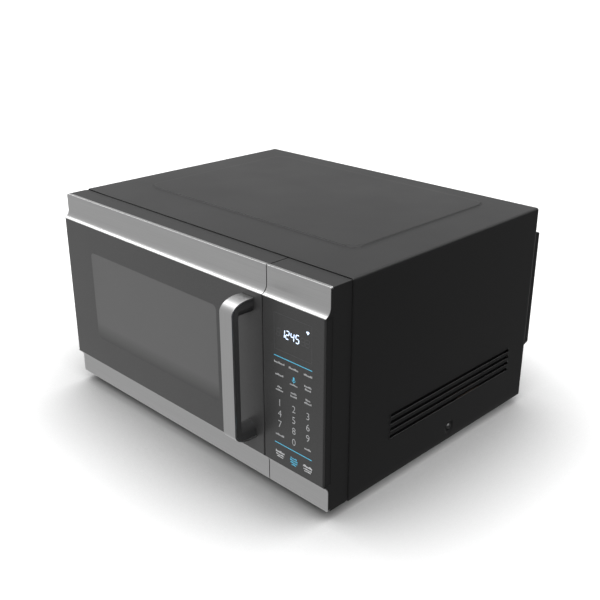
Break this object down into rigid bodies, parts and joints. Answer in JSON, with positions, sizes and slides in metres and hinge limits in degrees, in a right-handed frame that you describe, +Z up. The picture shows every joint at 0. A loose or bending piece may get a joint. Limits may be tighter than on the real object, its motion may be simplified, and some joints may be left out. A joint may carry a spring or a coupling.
{
  "type": "countertop microwave and convection oven",
  "caption": "Countertop oven with a side-hung door, brushed-steel trims and bar handle, a touch panel, a glass turntable and complete inner workings.",
  "frame": {"origin": "on the ground, under the centre of the whole oven including handle and rear cover", "axes": "+Z up, the door faces -Y, +X towards the control panel"},
  "size_m": [0.5452, 0.506, 0.3125],
  "materials": {
    "black_paint": "fine-grained matt black enamel",
    "zinc_steel": "zinc-coated sheet steel, dull",
    "foot_rubber": "matt black rubber",
    "screw_steel": "zinc-plated steel",
    "cavity_paint": "satin light grey enamel",
    "black_plastic": "fine-grained matt black plastic",
    "panel_glass": "back-printed black glass, satin gloss",
    "door_glass": "black-bordered tinted glass",
    "trim_steel": "brushed stainless steel, brushed along the trim",
    "display": "dark display window",
    "board_plastic": "green circuit board",
    "white_plastic": "white moulded plastic",
    "red_plastic": "red moulded plastic",
    "alu": "bare pressed aluminium",
    "mica": "pale brown mica sheet",
    "core_iron": "varnished steel laminations",
    "heater_steel": "heat-darkened steel sheath",
    "tray_glass": "clear toughened glass"
  },
  "bodies": {
    "cabinet": {"base_plate": "zinc_steel", "feet": "foot_rubber", "cabinet_cover": "black_paint", "cover_screws": "screw_steel", "rear_panel": "zinc_steel", "rear_cover": "black_paint", "cavity_wrap": "cavity_paint", "cavity_floor": "cavity_paint", "cavity_back": "cavity_paint", "front_plate": "cavity_paint", "hinges": "zinc_steel", "control_housing": "black_plastic", "control_glass": "panel_glass", "control_trim_top": "trim_steel", "control_trim_bottom": "trim_steel", "display_module": "display", "touch_board": "board_plastic", "control_board": "board_plastic", "latch_bracket": "white_plastic", "door_switches": "black_plastic", "turntable_motor": "zinc_steel", "magnetron": "alu", "waveguide": "zinc_steel", "waveguide_cover": "mica", "transformer": "core_iron", "capacitor": "alu", "rectifier_diode": "black_plastic", "fan_shroud": "black_plastic", "fan_motor": "core_iron", "filter_board": "board_plastic", "cord_gland": "foot_rubber", "oven_lamp": "white_plastic", "thermal_cutouts": "black_plastic", "convection_housing": "zinc_steel", "convection_heater": "heater_steel", "convection_motor": "zinc_steel", "convection_grille": "cavity_paint"},
    "door": {"door_frame": "black_plastic", "door_glass": "door_glass", "door_trim_top": "trim_steel", "door_trim_bottom": "trim_steel", "door_inner_panel": "black_paint", "door_screen": "black_paint", "door_inner_glass": "tray_glass", "choke_cover": "black_plastic", "latch_spring": "screw_steel", "handle_body": "black_plastic", "handle_strap": "trim_steel", "handle_screws": "screw_steel"},
    "latch": {"latch_plate": "white_plastic"},
    "coupler": {"coupler": "white_plastic"},
    "tray": {"glass_tray": "tray_glass"},
    "roller_ring": {"roller_ring": "white_plastic"},
    "roller_1": {"roller_1": "white_plastic"},
    "roller_2": {"roller_2": "white_plastic"},
    "roller_3": {"roller_3": "white_plastic"},
    "cooling_fan": {"cooling_fan": "black_plastic"},
    "convection_fan": {"convection_fan": "alu"},
    "plunger_lower": {"plunger_lower": "red_plastic"},
    "plunger_upper": {"plunger_upper": "red_plastic"}
  },
  "joints": [
    {"name": "door_hinge", "type": "hinge", "parent": "cabinet", "child": "door", "pos_m": [-0.265, -0.1795, 0.162], "axis": [0, 0, -1], "range_deg": [0, 95]},
    {"name": "latch_slide", "type": "slide", "parent": "door", "child": "latch", "axis": [0, 0, 1], "range_m": [0, 0.005], "stiffness_N_per_m": 200, "springref_m": -0.006},
    {"name": "tray_drive", "type": "hinge", "parent": "cabinet", "child": "coupler", "pos_m": [-0.062, 0.0061, 0.044], "axis": [0, 0, 1], "continuous": true},
    {"name": "tray_lift", "type": "slide", "parent": "coupler", "child": "tray", "axis": [0, 0, 1], "range_m": [0, 0.02]},
    {"name": "roller_ring_spin", "type": "hinge", "parent": "cabinet", "child": "roller_ring", "pos_m": [-0.062, 0.0061, 0.05205], "axis": [0, 0, 1], "continuous": true},
    {"name": "roller_1_spin", "type": "hinge", "parent": "roller_ring", "child": "roller_1", "pos_m": [0.04818, 0.0061, 0.05205], "axis": [1, 0, 0], "continuous": true},
    {"name": "roller_2_spin", "type": "hinge", "parent": "roller_ring", "child": "roller_2", "pos_m": [-0.11709, 0.10152, 0.05205], "axis": [-0.5, 0.866, 0], "continuous": true},
    {"name": "roller_3_spin", "type": "hinge", "parent": "roller_ring", "child": "roller_3", "pos_m": [-0.11709, -0.08932, 0.05205], "axis": [-0.5, -0.866, 0], "continuous": true},
    {"name": "cooling_fan_spin", "type": "hinge", "parent": "cabinet", "child": "cooling_fan", "pos_m": [0.205, 0.183, 0.214], "axis": [0, 1, 0], "continuous": true},
    {"name": "convection_fan_spin", "type": "hinge", "parent": "cabinet", "child": "convection_fan", "pos_m": [-0.062, 0.198, 0.1615], "axis": [0, 1, 0], "continuous": true},
    {"name": "plunger_lower_press", "type": "slide", "parent": "cabinet", "child": "plunger_lower", "axis": [0, 1, 0], "range_m": [0, 0.0015], "stiffness_N_per_m": 400, "springref_m": -0.001},
    {"name": "plunger_upper_press", "type": "slide", "parent": "cabinet", "child": "plunger_upper", "axis": [0, 1, 0], "range_m": [0, 0.0015], "stiffness_N_per_m": 400, "springref_m": -0.001}
  ],
  "couplings": [
    {"joint": "roller_ring_spin", "follows": "tray_drive", "ratio": 0.5},
    {"joint": "roller_1_spin", "follows": "tray_drive", "ratio": -6.8863},
    {"joint": "roller_2_spin", "follows": "tray_drive", "ratio": -6.8863},
    {"joint": "roller_3_spin", "follows": "tray_drive", "ratio": -6.8863}
  ]
}
